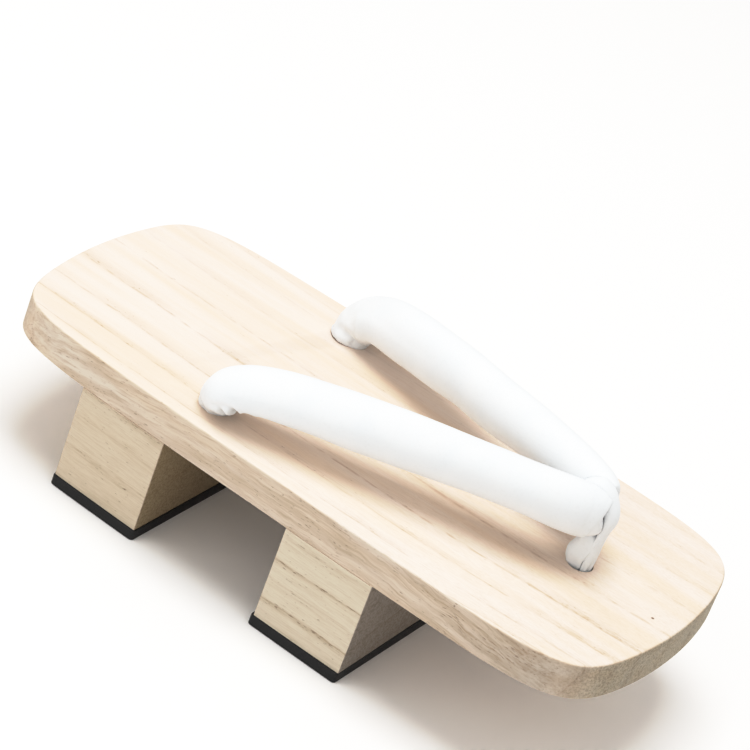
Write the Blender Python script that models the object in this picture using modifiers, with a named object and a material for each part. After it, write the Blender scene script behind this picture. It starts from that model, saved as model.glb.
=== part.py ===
"""A geta sandal: a flat wooden board on two teeth, rubber treads, a padded V strap and a toe loop.

Metres, +Z up, the floor at z = 0. +Y points to the toe and +X to the wearer's right. The sandal is
the same on both sides of x = 0, so it fits either foot.
"""

import math

import bmesh
import bpy
from mathutils import Vector

# Board, seen from above
BOARD_LENGTH = 0.240
BOARD_TOE_WIDTH = 0.1145
BOARD_HEEL_WIDTH = 0.1065
SIDE_BOW = 0.0013                # how far each long side curves in from its middle to its ends
TOE_BOW = 0.010                  # how far the middle of the toe stands ahead of its corners
HEEL_BOW = 0.008
TOE_SQUARENESS = 8.8             # power of the superellipse: 2 is an ellipse, higher is squarer
HEEL_SQUARENESS = 9.2

# Board, seen from the side
BOARD_THICKNESS = 0.013
BOARD_TOP_ROUNDING = 0.0016
BOARD_BOTTOM_ROUNDING = 0.0005

# Teeth and treads
TOOTH_LENGTH = 0.0345
TOOTH_HEIGHT = 0.0343
TOOTH_ROUNDING = 0.0006
REAR_TOOTH_FROM_HEEL = 0.0415    # from the heel's tip to the tooth's back face
FRONT_TOOTH_FROM_TOE = 0.0795    # from the toe's tip to the tooth's front face
TREAD_THICKNESS = 0.0037
TREAD_OVERHANG = 0.0005
TREAD_ROUNDING = 0.0020
JOINT_GAP = 0.0003               # the glue line between two pieces, and the room left around cloth

# Holes, tails and knots
FRONT_HOLE_FROM_TOE = 0.0392
REAR_HOLE_ACROSS = 0.0386        # from the middle of the board to each rear hole
TAIL_CLEARANCE = 0.0004
REAR_TAIL_RADIUS = 0.0038
REAR_KNOT_RADIUS = 0.0052
REAR_KNOT_DEPTH = 0.0060
FRONT_TAIL_RADIUS = 0.0040
FRONT_TAIL_TOP = 0.0020          # how far below the board's top the loop's two legs join
FRONT_KNOT_RADIUS = 0.0065
FRONT_KNOT_DEPTH = 0.0070

# Strap: the full width and height of its arms, and the height of their middle line at the apex
STRAP_WIDTH = 0.0180
STRAP_HEIGHT = 0.0195
STRAP_RISE = 0.0200

# Toe loop: a flat padded band that stands in the plane x = 0
LOOP_WIDTH = 0.0076
LOOP_THICKNESS = 0.0050
LOOP_HEIGHT = 0.0290             # from the board's top to the top of the band's middle line
LOOP_REACH = 0.0072              # from the front hole's axis to the legs, as a unit of length

# How finely round forms are divided
OUTLINE_SAMPLES = 1440
OUTLINE_TURN = math.radians(5)
OUTLINE_STEP = 0.016
STRAP_RING_POINTS = 24
LOOP_RING_POINTS = 16
STEPS_PER_ROW = 3
HOLE_POINTS = 32
TOOTH_SIDE_POINTS = 5
ROUNDING_SEGMENTS = 3
SMOOTH_UNDER = math.radians(40)
MERGE_DISTANCE = 0.00001

BOARD_BOTTOM = TREAD_THICKNESS + JOINT_GAP + TOOTH_HEIGHT + JOINT_GAP
BOARD_TOP = BOARD_BOTTOM + BOARD_THICKNESS
REAR_TOOTH_BACK = -BOARD_LENGTH / 2 + REAR_TOOTH_FROM_HEEL
FRONT_TOOTH_BACK = BOARD_LENGTH / 2 - FRONT_TOOTH_FROM_TOE - TOOTH_LENGTH
FRONT_HOLE_Y = BOARD_LENGTH / 2 - FRONT_HOLE_FROM_TOE
REAR_HOLE_Y = REAR_TOOTH_BACK + TOOTH_LENGTH + REAR_KNOT_RADIUS + JOINT_GAP

UP = Vector((0, 0, 1))
DOWN = Vector((0, 0, -1))

# One arm of the strap, from its rounded end at the apex to the rear hole. Each row is a section.
# along: share of the way from the front hole to the rear hole. across: share of REAR_HOLE_ACROSS.
# rise: share of STRAP_RISE. width and height: shares of the strap's own.
ARM_SECTIONS = (
    # along, across, rise, width, height
    (-0.017, 0.030, 0.92, 0.12, 0.12),
    (-0.010, 0.040, 0.92, 0.48, 0.50),
    (0.003, 0.060, 0.93, 0.62, 0.74),
    (0.027, 0.105, 0.96, 0.77, 0.90),
    (0.076, 0.212, 1.00, 0.86, 0.96),
    (0.175, 0.330, 1.05, 0.94, 1.00),
    (0.314, 0.460, 1.03, 0.96, 1.00),
    (0.454, 0.580, 0.97, 0.98, 0.99),
    (0.628, 0.760, 0.88, 1.00, 0.94),
    (0.786, 0.910, 0.80, 1.03, 0.86),
    (0.895, 1.020, 0.70, 1.05, 0.76),
    (0.960, 1.060, 0.51, 1.00, 0.74),
    (0.993, 1.035, 0.29, 0.87, 0.73),
    (1.003, 1.010, 0.14, 0.74, 0.66),
)

# The loop's middle line, from the hole up behind the apex, over it and down in front.
# reach: share of LOOP_REACH, towards the toe. height: share of LOOP_HEIGHT above the board.
# size: share of LOOP_WIDTH and of LOOP_THICKNESS.
LOOP_SECTIONS = (
    # reach, height, size
    (-0.27, -0.12, 0.72),
    (-0.28, 0.02, 0.74),
    (-0.34, 0.14, 0.94),
    (-0.42, 0.24, 1.00),
    (-0.74, 0.35, 1.00),
    (-1.18, 0.48, 1.00),
    (-1.26, 0.68, 1.00),
    (-1.06, 0.88, 1.00),
    (-0.56, 1.00, 1.00),
    (0.00, 1.00, 1.00),
    (0.40, 0.88, 0.95),
    (0.52, 0.70, 0.90),
    (0.50, 0.50, 0.90),
    (0.44, 0.32, 0.95),
    (0.36, 0.18, 0.98),
    (0.30, 0.06, 0.86),
    (0.27, 0.00, 0.74),
    (0.27, -0.12, 0.72),
)

# A knot under the board, seen from the side: shares of its own depth and radius.
KNOT_PROFILE = (
    # depth, radius
    (0.00, 0.70),
    (0.20, 0.95),
    (0.45, 1.00),
    (0.70, 0.92),
    (0.90, 0.66),
    (1.00, 0.30),
)


def clear_scene():
    for piece in list(bpy.data.objects):
        bpy.data.objects.remove(piece)


def new_collection(name):
    collection = bpy.data.collections.new(name)
    bpy.context.scene.collection.children.link(collection)
    return collection


def new_material(name, colour, roughness):
    material = bpy.data.materials.new(name)
    material.use_nodes = True
    shader = material.node_tree.nodes["Principled BSDF"]
    shader.inputs["Base Color"].default_value = (*colour, 1.0)
    shader.inputs["Roughness"].default_value = roughness
    shader.inputs["Metallic"].default_value = 0.0
    return material


def mesh_from(shape, name):
    """A closed mesh from a bmesh, with its faces turned outwards."""
    bmesh.ops.recalc_face_normals(shape, faces=shape.faces)
    mesh = bpy.data.meshes.new(name)
    shape.to_mesh(mesh)
    shape.free()
    return mesh


def new_part(name, mesh, material, collection):
    mesh.materials.append(material)
    mesh.shade_smooth()
    mesh.set_sharp_from_angle(angle=SMOOTH_UNDER)
    part = bpy.data.objects.new(name, mesh)
    collection.objects.link(part)
    return part


def new_cutter(name, mesh, cutters):
    cutter = bpy.data.objects.new(name, mesh)
    cutter.hide_render = True
    cutter.display_type = "WIRE"
    cutters.objects.link(cutter)
    return cutter


def add_boolean(part, cutter, operation):
    boolean = part.modifiers.new(cutter.name, "BOOLEAN")
    boolean.operation = operation
    boolean.solver = "EXACT"
    boolean.object = cutter


def outline_point(turn):
    """The board's outline in the direction of this turn from +X."""
    towards_toe = math.sin(turn) > 0
    power = TOE_SQUARENESS if towards_toe else HEEL_SQUARENESS
    bow = TOE_BOW if towards_toe else HEEL_BOW
    reach = (abs(math.cos(turn)) ** power + abs(math.sin(turn)) ** power) ** (-1 / power)
    across = reach * math.cos(turn)
    along = reach * math.sin(turn)
    y = along * (BOARD_LENGTH / 2 - bow * across ** 2)
    toe_share = 0.5 + y / BOARD_LENGTH
    width = BOARD_HEEL_WIDTH + (BOARD_TOE_WIDTH - BOARD_HEEL_WIDTH) * toe_share
    x = across * (width / 2 - SIDE_BOW * along ** 2)
    return Vector((x, y))


def half_outline():
    """Points from the heel's middle to the toe's, kept where the outline has turned or run on enough."""
    start = -math.pi / 2
    previous = outline_point(start)
    points = [previous]
    kept_heading = Vector((1, 0))
    for i in range(1, OUTLINE_SAMPLES):
        point = outline_point(start + math.pi * i / OUTLINE_SAMPLES)
        heading = point - previous
        previous = point
        turned = heading.angle(kept_heading) > OUTLINE_TURN
        if turned or (point - points[-1]).length > OUTLINE_STEP:
            points.append(point)
            kept_heading = heading
    points.append(outline_point(start + math.pi))
    return points


def half_width(y):
    """Half the board's width at y, by halving the outline's turn."""
    low = -math.pi / 2
    high = math.pi / 2
    while high - low > 1e-9:
        middle = (low + high) / 2
        if outline_point(middle).y < y:
            low = middle
        else:
            high = middle
    return outline_point(low).x


def prism(outline, bottom, top):
    """A bmesh prism on a flat outline, and its faces: (shape, lower face, upper face)."""
    shape = bmesh.new()
    shape.edges.layers.float.new("bevel_weight_edge")
    lower = shape.faces.new([shape.verts.new((x, y, bottom)) for x, y in outline])
    raised = bmesh.ops.extrude_face_region(shape, geom=[lower], use_keep_orig=True)["geom"]
    corners = [item for item in raised if isinstance(item, bmesh.types.BMVert)]
    upper = next(item for item in raised if isinstance(item, bmesh.types.BMFace))
    bmesh.ops.translate(shape, verts=corners, vec=(0, 0, top - bottom))
    return shape, lower, upper


def weigh_edges(shape, edges, weight):
    layer = shape.edges.layers.float["bevel_weight_edge"]
    for edge in edges:
        edge[layer] = weight


def add_rounding(part, width):
    bevel = part.modifiers.new("rounding", "BEVEL")
    bevel.limit_method = "WEIGHT"
    bevel.width = width
    bevel.segments = ROUNDING_SEGMENTS


def cylinder(x, y, bottom, top, radius):
    shape = bmesh.new()
    bmesh.ops.create_cone(
        shape, cap_ends=True, segments=HOLE_POINTS, radius1=radius, radius2=radius, depth=top - bottom
    )
    bmesh.ops.translate(shape, verts=shape.verts, vec=(x, y, (top + bottom) / 2))
    return mesh_from(shape, "hole")


def build_board(wood, parts, cutters):
    right_side = half_outline()
    left_side = [Vector((-point.x, point.y)) for point in reversed(right_side[1:-1])]
    shape, lower, upper = prism(right_side + left_side, BOARD_BOTTOM, BOARD_TOP)
    weigh_edges(shape, upper.edges, 1.0)
    weigh_edges(shape, lower.edges, BOARD_BOTTOM_ROUNDING / BOARD_TOP_ROUNDING)
    board = new_part("board", mesh_from(shape, "board"), wood, parts)
    add_rounding(board, BOARD_TOP_ROUNDING)
    holes = (
        ("front_hole", 0, FRONT_HOLE_Y, FRONT_TAIL_RADIUS),
        ("rear_right_hole", REAR_HOLE_ACROSS, REAR_HOLE_Y, REAR_TAIL_RADIUS),
        ("rear_left_hole", -REAR_HOLE_ACROSS, REAR_HOLE_Y, REAR_TAIL_RADIUS),
    )
    for name, x, y, tail_radius in holes:
        bottom = BOARD_BOTTOM - BOARD_THICKNESS
        top = BOARD_TOP + BOARD_THICKNESS
        hole = new_cutter(name, cylinder(x, y, bottom, top, tail_radius + TAIL_CLEARANCE), cutters)
        add_boolean(board, hole, "DIFFERENCE")


def block(back, front, bottom, top, overhang):
    """A bmesh block under the board, whose two ends follow the board's sides."""
    steps = [i / (TOOTH_SIDE_POINTS - 1) for i in range(TOOTH_SIDE_POINTS)]
    length = front - back + 2 * overhang
    side = []
    for step in steps:
        y = back - overhang + step * length
        side.append(Vector((half_width(y) + overhang, y)))
    outline = side + [Vector((-point.x, point.y)) for point in reversed(side)]
    shape, _, _ = prism(outline, bottom, top)
    corners = [edge for edge in shape.edges if is_block_corner(edge, side[0].y, side[-1].y)]
    weigh_edges(shape, corners, 1.0)
    return mesh_from(shape, "block")


def is_block_corner(edge, back, front):
    first, second = (corner.co for corner in edge.verts)
    upright = abs(first.z - second.z) > MERGE_DISTANCE
    at_end = min(abs(first.y - back), abs(first.y - front)) < MERGE_DISTANCE
    return upright and at_end


def build_tooth(name, back, wood, parts):
    bottom = TREAD_THICKNESS + JOINT_GAP
    mesh = block(back, back + TOOTH_LENGTH, bottom, bottom + TOOTH_HEIGHT, 0)
    tooth = new_part(name, mesh, wood, parts)
    add_rounding(tooth, TOOTH_ROUNDING)


def build_tread(name, back, rubber, parts):
    mesh = block(back, back + TOOTH_LENGTH, 0, TREAD_THICKNESS, TREAD_OVERHANG)
    tread = new_part(name, mesh, rubber, parts)
    add_rounding(tread, TREAD_ROUNDING)


def between(before, start, end, after, share):
    """The Catmull-Rom curve through rows of numbers, at a share of the way from start to end."""
    values = []
    for a, b, c, d in zip(before, start, end, after):
        bend = (2 * a - 5 * b + 4 * c - d) * share + (3 * b - a - 3 * c + d) * share ** 2
        values.append(b + (c - a + bend) * share / 2)
    return values


def smooth_rows(rows):
    """The rows of a table, with more rows on a smooth curve between them."""
    last = len(rows) - 1
    smooth = []
    for i in range(last):
        before = rows[max(i - 1, 0)]
        after = rows[min(i + 2, last)]
        for step in range(STEPS_PER_ROW):
            smooth.append(between(before, rows[i], rows[i + 1], after, step / STEPS_PER_ROW))
    smooth.append(list(rows[last]))
    return smooth


def loft(sections, up, ring_points):
    """A bmesh tube with flat ends through sections of (centre, direction, half width, half height)."""
    shape = bmesh.new()
    rings = []
    for centre, direction, half_across, half_up in sections:
        up = (up - direction * up.dot(direction)).normalized()
        side = direction.cross(up)
        ring = []
        for i in range(ring_points):
            angle = 2 * math.pi * i / ring_points
            offset = side * (half_across * math.cos(angle)) + up * (half_up * math.sin(angle))
            ring.append(shape.verts.new(centre + offset))
        rings.append(ring)
    for ring, following in zip(rings, rings[1:]):
        for i in range(ring_points):
            j = (i + 1) % ring_points
            shape.faces.new((ring[i], ring[j], following[j], following[i]))
    shape.faces.new(rings[0])
    shape.faces.new(rings[-1])
    return shape


def with_directions(rows, point_of):
    """(centre, direction, row) of each row, where point_of gives a row's centre."""
    points = [point_of(row) for row in rows]
    found = []
    for i, row in enumerate(rows):
        ahead = points[min(i + 1, len(points) - 1)]
        behind = points[max(i - 1, 0)]
        found.append((points[i], (ahead - behind).normalized(), row))
    return found


def knot_sections(x, y, radius, depth):
    top = BOARD_BOTTOM - JOINT_GAP
    sections = []
    for depth_share, radius_share in KNOT_PROFILE:
        centre = Vector((x, y, top - depth * depth_share))
        sections.append((centre, DOWN, radius * radius_share, radius * radius_share))
    return sections


def arm_point(row):
    along, across, rise = row[:3]
    y = FRONT_HOLE_Y + along * (REAR_HOLE_Y - FRONT_HOLE_Y)
    return Vector((across * REAR_HOLE_ACROSS, y, BOARD_TOP + rise * STRAP_RISE))


def arm_sections():
    sections = []
    for centre, direction, row in with_directions(smooth_rows(ARM_SECTIONS), arm_point):
        sections.append((centre, direction, row[3] * STRAP_WIDTH / 2, row[4] * STRAP_HEIGHT / 2))
    return sections


def tail_sections(last_section):
    """From the arm's last section down onto the board, through the rear hole and into the knot."""
    centre, _, half_across, half_up = last_section
    seat = BOARD_TOP + JOINT_GAP
    hole_top = Vector((REAR_HOLE_ACROSS, REAR_HOLE_Y, seat))
    hole_bottom = Vector((REAR_HOLE_ACROSS, REAR_HOLE_Y, BOARD_BOTTOM - JOINT_GAP))
    return [
        (Vector((centre.x, centre.y, seat)), DOWN, half_across, half_up),
        (hole_top, DOWN, REAR_TAIL_RADIUS, REAR_TAIL_RADIUS),
        (hole_bottom, DOWN, REAR_TAIL_RADIUS, REAR_TAIL_RADIUS),
    ]


def arm_mesh(side):
    """One arm with its tail and knot: side is 1 for the wearer's right and -1 for the left."""
    sections = arm_sections()
    sections += tail_sections(sections[-1])
    sections += knot_sections(REAR_HOLE_ACROSS, REAR_HOLE_Y, REAR_KNOT_RADIUS, REAR_KNOT_DEPTH)
    shape = loft(sections, UP, STRAP_RING_POINTS)
    bmesh.ops.scale(shape, verts=shape.verts, vec=(side, 1, 1))
    return mesh_from(shape, "arm")


def build_strap(cloth, parts, cutters):
    strap = new_part("strap", arm_mesh(1), cloth, parts)
    add_boolean(strap, new_cutter("left_arm", arm_mesh(-1), cutters), "UNION")
    room = mesh_from(loft(loop_sections(JOINT_GAP), UP, LOOP_RING_POINTS), "loop_room")
    add_boolean(strap, new_cutter("loop_room", room, cutters), "DIFFERENCE")


def loop_point(row):
    reach, height = row[:2]
    return Vector((0, FRONT_HOLE_Y + reach * LOOP_REACH, BOARD_TOP + height * LOOP_HEIGHT))


def loop_sections(margin):
    sections = []
    for centre, direction, row in with_directions(smooth_rows(LOOP_SECTIONS), loop_point):
        half_width_here = row[2] * LOOP_WIDTH / 2 + margin
        half_thickness = row[2] * LOOP_THICKNESS / 2 + margin
        sections.append((centre, direction, half_width_here, half_thickness))
    return sections


def build_toe_loop(cloth, parts, cutters):
    back = Vector((0, -1, 0))
    mesh = mesh_from(loft(loop_sections(0), back, LOOP_RING_POINTS), "toe_loop")
    toe_loop = new_part("toe_loop", mesh, cloth, parts)
    tail_top = Vector((0, FRONT_HOLE_Y, BOARD_TOP - FRONT_TAIL_TOP))
    tail_bottom = Vector((0, FRONT_HOLE_Y, BOARD_BOTTOM - JOINT_GAP))
    sections = [(end, DOWN, FRONT_TAIL_RADIUS, FRONT_TAIL_RADIUS) for end in (tail_top, tail_bottom)]
    sections += knot_sections(0, FRONT_HOLE_Y, FRONT_KNOT_RADIUS, FRONT_KNOT_DEPTH)
    tail = mesh_from(loft(sections, back, STRAP_RING_POINTS), "loop_tail")
    add_boolean(toe_loop, new_cutter("loop_tail", tail, cutters), "UNION")


def main():
    clear_scene()
    parts = new_collection("geta_sandal")
    cutters = new_collection("cutters")
    wood = new_material("paulownia_wood", (0.80, 0.63, 0.45), 0.6)
    rubber = new_material("black_rubber", (0.012, 0.012, 0.013), 0.75)
    cloth = new_material("white_cloth", (0.90, 0.90, 0.89), 0.9)
    build_board(wood, parts, cutters)
    build_tooth("rear_tooth", REAR_TOOTH_BACK, wood, parts)
    build_tooth("front_tooth", FRONT_TOOTH_BACK, wood, parts)
    build_tread("rear_tread", REAR_TOOTH_BACK, rubber, parts)
    build_tread("front_tread", FRONT_TOOTH_BACK, rubber, parts)
    build_strap(cloth, parts, cutters)
    build_toe_loop(cloth, parts, cutters)


main()
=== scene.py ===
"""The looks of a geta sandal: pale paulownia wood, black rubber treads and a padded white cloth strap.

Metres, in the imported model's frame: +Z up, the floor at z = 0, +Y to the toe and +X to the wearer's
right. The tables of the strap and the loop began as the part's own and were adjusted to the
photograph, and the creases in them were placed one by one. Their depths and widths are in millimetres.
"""

import math

import bmesh
import bpy
import numpy as np
from mathutils import Matrix, Vector, noise


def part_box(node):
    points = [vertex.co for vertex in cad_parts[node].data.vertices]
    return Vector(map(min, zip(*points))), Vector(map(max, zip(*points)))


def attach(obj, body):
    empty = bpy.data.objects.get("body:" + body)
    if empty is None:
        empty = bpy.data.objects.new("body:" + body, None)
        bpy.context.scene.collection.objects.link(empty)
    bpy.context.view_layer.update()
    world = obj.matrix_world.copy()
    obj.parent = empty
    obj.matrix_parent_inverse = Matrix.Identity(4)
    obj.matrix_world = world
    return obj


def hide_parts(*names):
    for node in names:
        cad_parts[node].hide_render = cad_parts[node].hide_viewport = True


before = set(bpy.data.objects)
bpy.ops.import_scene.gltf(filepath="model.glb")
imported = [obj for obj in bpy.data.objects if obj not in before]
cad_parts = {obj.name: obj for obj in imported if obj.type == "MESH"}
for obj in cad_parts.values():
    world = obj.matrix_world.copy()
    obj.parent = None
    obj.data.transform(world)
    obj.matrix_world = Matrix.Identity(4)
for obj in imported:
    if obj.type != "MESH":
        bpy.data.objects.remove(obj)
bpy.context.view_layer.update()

MM = 0.001
NOT_ZERO = 1e-12

# The photograph's camera, in degrees, metres and millimetres of lens
CAMERA_AZIMUTH = 113.24
CAMERA_ELEVATION = 30.09
CAMERA_ROLL = 20.72
CAMERA_DISTANCE = 1.1279
CAMERA_LENS = 168.8
CAMERA_SENSOR = 36
CAMERA_AIM = Vector((0, -0.0077, 0.0689))

# The board's plan, as in the part's source
BOARD_TOE_WIDTH = 114.5 * MM
BOARD_HEEL_WIDTH = 106.5 * MM
SIDE_BOW = 1.3 * MM
TOE_BOW = 10 * MM
HEEL_BOW = 8 * MM
TOE_SQUARENESS = 8.8
HEEL_SQUARENESS = 9.2
TOP_ROUNDING = 0.9 * MM
BOTTOM_ROUNDING = 0.4 * MM

# Teeth and treads
TOOTH_CORNER = 0.5 * MM
TOOTH_EDGE = 0.25 * MM
TOOTH_TOP_EDGE = 0.05 * MM
TREAD_OVERHANG = 0.5 * MM
TREAD_CORNER = 1.3 * MM
TREAD_EDGE = 0.3 * MM
GLUE_LINE = 0.02 * MM
SANDING_WAVES = 0.15 * MM
SANDING_SCALE = 45               # how fast the waves of sanding change, per metre
FRONT_TREAD_TURN = math.radians(-0.5)

# Holes, tails and knots
FRONT_HOLE_FROM_TOE = 39.2 * MM
REAR_HOLE_FROM_TOOTH = 5.5 * MM
REAR_HOLE_ACROSS = 38.6 * MM
REAR_TAIL_RADIUS = 3.8 * MM
FRONT_TAIL_RADIUS = 4.0 * MM
TAIL_CLEARANCE = 0.4 * MM
HOLE_FLARE = 0.25 * MM
HOLE_EDGE = ((1.0, 0.0), (0.3, 0.4), (0.0, 1.5))    # outwards and inwards steps, as shares of the flare
HOLE_OVERRUN = 5 * MM
REAR_KNOT_RADIUS = 5.2 * MM
REAR_KNOT_DEPTH = 6.0 * MM
FRONT_KNOT_RADIUS = 6.5 * MM
FRONT_KNOT_DEPTH = 7.0 * MM
KNOT_CORD_SHARE = 0.32

# Strap and toe loop
STRAP_WIDTH = 18.0 * MM
STRAP_HEIGHT = 19.5 * MM
STRAP_RISE = 20.0 * MM
LOOP_WIDTH = 7.6 * MM
LOOP_THICKNESS = 5.0 * MM
LOOP_HEIGHT = 29.0 * MM
LOOP_REACH = 7.2 * MM

# How finely the pieces are divided
OUTLINE_POINTS = 480
OUTLINE_SAMPLES = 4000
WIDTH_SAMPLES = 2000
BLOCK_SIDE_POINTS = 12
EDGE_SEGMENTS = 6
EDGE_SHARES = (0.25, 0.5, 0.75)
FACE_INSET = 2 * MM
ARM_STEPS = 18
ARM_POINTS = 112
LOOP_STEPS = 14
LOOP_POINTS = 72
KNOT_STEPS = 160
KNOT_POINTS = 20
HOLE_POINTS = 48
ROOM_STEPS = 6
SMOOTH_UNDER = math.radians(35)

BOARD_LOW, BOARD_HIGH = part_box("board")
BOARD_LENGTH = BOARD_HIGH.y - BOARD_LOW.y
BOARD_BOTTOM = BOARD_LOW.z
BOARD_TOP = BOARD_HIGH.z
FRONT_HOLE_Y = BOARD_HIGH.y - FRONT_HOLE_FROM_TOE
REAR_HOLE_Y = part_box("rear_tooth")[1].y + REAR_HOLE_FROM_TOOTH

# One arm of the strap, from its rounded end at the apex to the rear hole
ARM_SECTIONS = (
    # along, across, rise, width, height
    (-0.020, 0.050, 0.98, 0.12, 0.12),
    (-0.013, 0.058, 0.97, 0.48, 0.64),
    (0.002, 0.075, 0.99, 0.65, 0.87),
    (0.030, 0.115, 1.02, 0.77, 0.96),
    (0.076, 0.198, 1.05, 0.87, 0.94),
    (0.175, 0.330, 1.06, 0.93, 0.87),
    (0.314, 0.460, 1.03, 0.95, 0.89),
    (0.454, 0.580, 0.96, 0.98, 0.93),
    (0.628, 0.760, 0.88, 1.00, 0.94),
    (0.786, 0.910, 0.80, 1.03, 0.86),
    (0.895, 1.020, 0.70, 1.05, 0.76),
    (0.960, 1.060, 0.51, 0.99, 0.73),
    (0.991, 1.030, 0.29, 0.83, 0.67),
    (1.000, 1.005, 0.14, 0.71, 0.61),
)

# Under the arm's last section: the roll of cloth that sits on the board, then the tail in its hole.
# height: above the board's top. size: share of the last section, and 0 is the tail's own radius.
SEAT_SECTIONS = (
    # height in mm, size
    (1.5, 1.00),
    (0.8, 0.95),
    (0.3, 0.82),
    (0.1, 0.55),
    (-0.8, 0.00),
    (-6.0, 0.00),
    (-13.0, 0.00),
    (-14.2, 0.00),
)

# The loop's middle line, from below the board up behind the apex, over it and down in front
LOOP_SECTIONS = (
    # reach, height, size
    (-0.27, -0.47, 0.72),
    (-0.27, -0.10, 0.82),
    (-0.32, 0.03, 1.02),
    (-0.42, 0.13, 1.12),
    (-0.30, 0.25, 0.98),
    (-0.22, 0.36, 0.92),
    (-0.75, 0.48, 0.90),
    (-1.22, 0.66, 0.95),
    (-1.06, 0.86, 1.00),
    (-0.60, 0.965, 1.00),
    (-0.20, 0.955, 0.96),
    (0.18, 0.87, 0.94),
    (0.50, 0.70, 0.90),
    (0.39, 0.50, 0.84),
    (0.33, 0.32, 0.84),
    (0.32, 0.18, 0.84),
    (0.30, 0.08, 0.84),
    (0.28, 0.00, 0.80),
    (0.27, -0.10, 0.72),
    (0.27, -0.47, 0.70),
)

# Creases: a width in mm, then stations of (row, degrees round, depth in mm). row counts the sections
# from 0, with shares between them. On an arm 0 degrees is the inner side, 90 the top or the heel,
# 180 the outer side and 270 the underside or the toe. A negative depth is a ridge.
RIGHT_CREASES = (
    (0.9, ((11.1, 196, 0.0), (11.22, 208, 0.6), (11.28, 222, 1.0), (11.3, 236, 1.0), (11.5, 255, 0.8))),
    (1.2, ((11.6, 180, 0.0), (11.33, 190, 0.45), (10.94, 193, 0.5), (10.67, 202, 0.6), (10.68, 214, 0.8),
           (10.8, 235, 0.8))),
    (1.8, ((12.2, 180, -0.2), (11.65, 204, -0.5), (11.6, 224, -0.5))),
    (1.2, ((10.95, 212, -0.4), (10.95, 226, -0.6), (11.0, 240, -0.5))),
    (1.3, ((10.7, 214, 0.3), (10.8, 228, 0.8), (10.9, 250, 0.8))),
    (2.0, ((10.4, 226, 0.1), (10.4, 238, 0.9), (10.45, 255, 0.9))),
    (1.1, ((12.6, 272, 0.1), (13.6, 272, 0.8), (15.0, 272, 0.8))),
    (1.5, ((12.2, 160, 0.0), (13.2, 165, 0.3), (14.6, 168, 0.6))),
    (1.5, ((12.2, 105, 0.0), (13.4, 100, 0.4), (15.0, 98, 0.6))),
    (1.5, ((12.0, 20, 0.0), (13.0, 16, 0.5), (15.0, 10, 0.7))),
)
LEFT_CREASES = (
    (1.4, ((13.1, 40, 0.0), (13.0, 12, 0.3), (12.9, 350, 0.45), (12.6, 335, 0.45), (12.1, 321, 0.3),
           (11.8, 305, 0.0))),
    (1.8, ((13.5, 45, -0.2), (13.5, 10, -0.4), (13.4, 340, -0.3))),
    (5.0, ((13.0, 318, -0.5), (13.2, 298, -1.6), (13.4, 275, -2.0), (13.4, 250, -0.8))),
    (6.5, ((7.6, 305, 0.0), (8.4, 306, -1.2), (9.2, 306, -2.2), (10.0, 306, -2.9), (10.8, 306, -2.8),
           (11.6, 302, -1.8), (12.4, 296, -0.6))),
    (1.4, ((12.0, 205, 0.0), (13.6, 200, 0.4), (15.0, 196, 0.6))),
    (1.4, ((12.0, 140, 0.0), (13.6, 144, 0.4), (15.0, 148, 0.5))),
)

# Long shallow hollows that both arms share, in the soft filling
ARM_HOLLOWS = (
    (6.0, ((5.5, 60, 0.1), (6.5, 40, 0.35), (7.2, 30, 0.1))),
    (5.0, ((7.6, 215, 0.1), (8.5, 225, 0.35), (9.3, 230, 0.1))),
    (5.0, ((8.8, 80, 0.1), (9.6, 70, 0.3), (10.4, 60, 0.1))),
    (5.0, ((4.6, 200, 0.1), (5.8, 190, 0.3), (6.6, 180, 0.1))),
    (4.0, ((9.6, 290, 0.1), (10.6, 280, 0.6), (11.6, 275, 0.2))),
)

# Creases in the toe loop: 0 degrees is one edge of the band, 90 its outer face, 270 its inner face
LOOP_CREASES = (
    (0.6, ((3.5, 90, 0.0), (5.0, 84, 0.4), (6.5, 80, 0.5), (8.0, 84, 0.3), (9.0, 90, 0.0))),
    (0.6, ((5.0, 118, 0.0), (6.5, 120, 0.4), (7.5, 116, 0.3), (8.6, 112, 0.0))),
    (0.6, ((5.2, 50, 0.0), (6.8, 52, 0.3), (8.4, 58, 0.0))),
    (0.6, ((2.0, 60, 0.5), (3.0, 62, 0.3), (4.0, 64, 0.0))),
    (0.6, ((2.0, 125, 0.5), (3.0, 122, 0.3), (4.0, 120, 0.0))),
    (0.6, ((15.0, 70, 0.0), (16.0, 66, 0.3), (17.0, 62, 0.5))),
    (0.6, ((15.0, 110, 0.0), (16.0, 112, 0.3), (17.0, 115, 0.5))),
)

# A crease's raised shoulders: their height as a share of its depth, and their place and sharpness
CREASE_SHOULDER = 0.3
SHOULDER_PLACE = 1.7
SHOULDER_SHARPNESS = 2

# The crease depth, in mm, given as painted shadow to a point pushed 1 mm out of the toe loop's way: it paints
# the fold beside the band dark
FOLD_SHADOW_DEPTH = 4.0

UNDERSIDE = 270
SEAM_ROWS = (4, 12)
SEAM_WIDTH = 0.6
SEAM_DEPTH = 0.45
PLEATS = 9
PLEAT_DEPTH = 0.07 * MM
PLEAT_REACH = 7 * MM
PLEAT_UNEVENNESS = 1.5
ARM_GAP = 0.12 * MM
ARM_SOFTNESS = 1.2 * MM

# The soft filling's unevenness: how far it moves a surface, and how fast it changes, per metre
ARM_FILLING = (0.25 * MM, 70)
LOOP_FILLING = (0.12 * MM, 160)
KNOT_FILLING = (0.15 * MM, 400)

# How far the arms' ends stand off the toe loop, in mm, at each height above the board in mm
BAND_GAPS = ((10, 0.35), (23, 0.32), (27, 0.08))

# How far each arm's end reaches towards the toe from the front hole
RIGHT_END = 8.0 * MM
LEFT_END = 0.3 * MM

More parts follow.
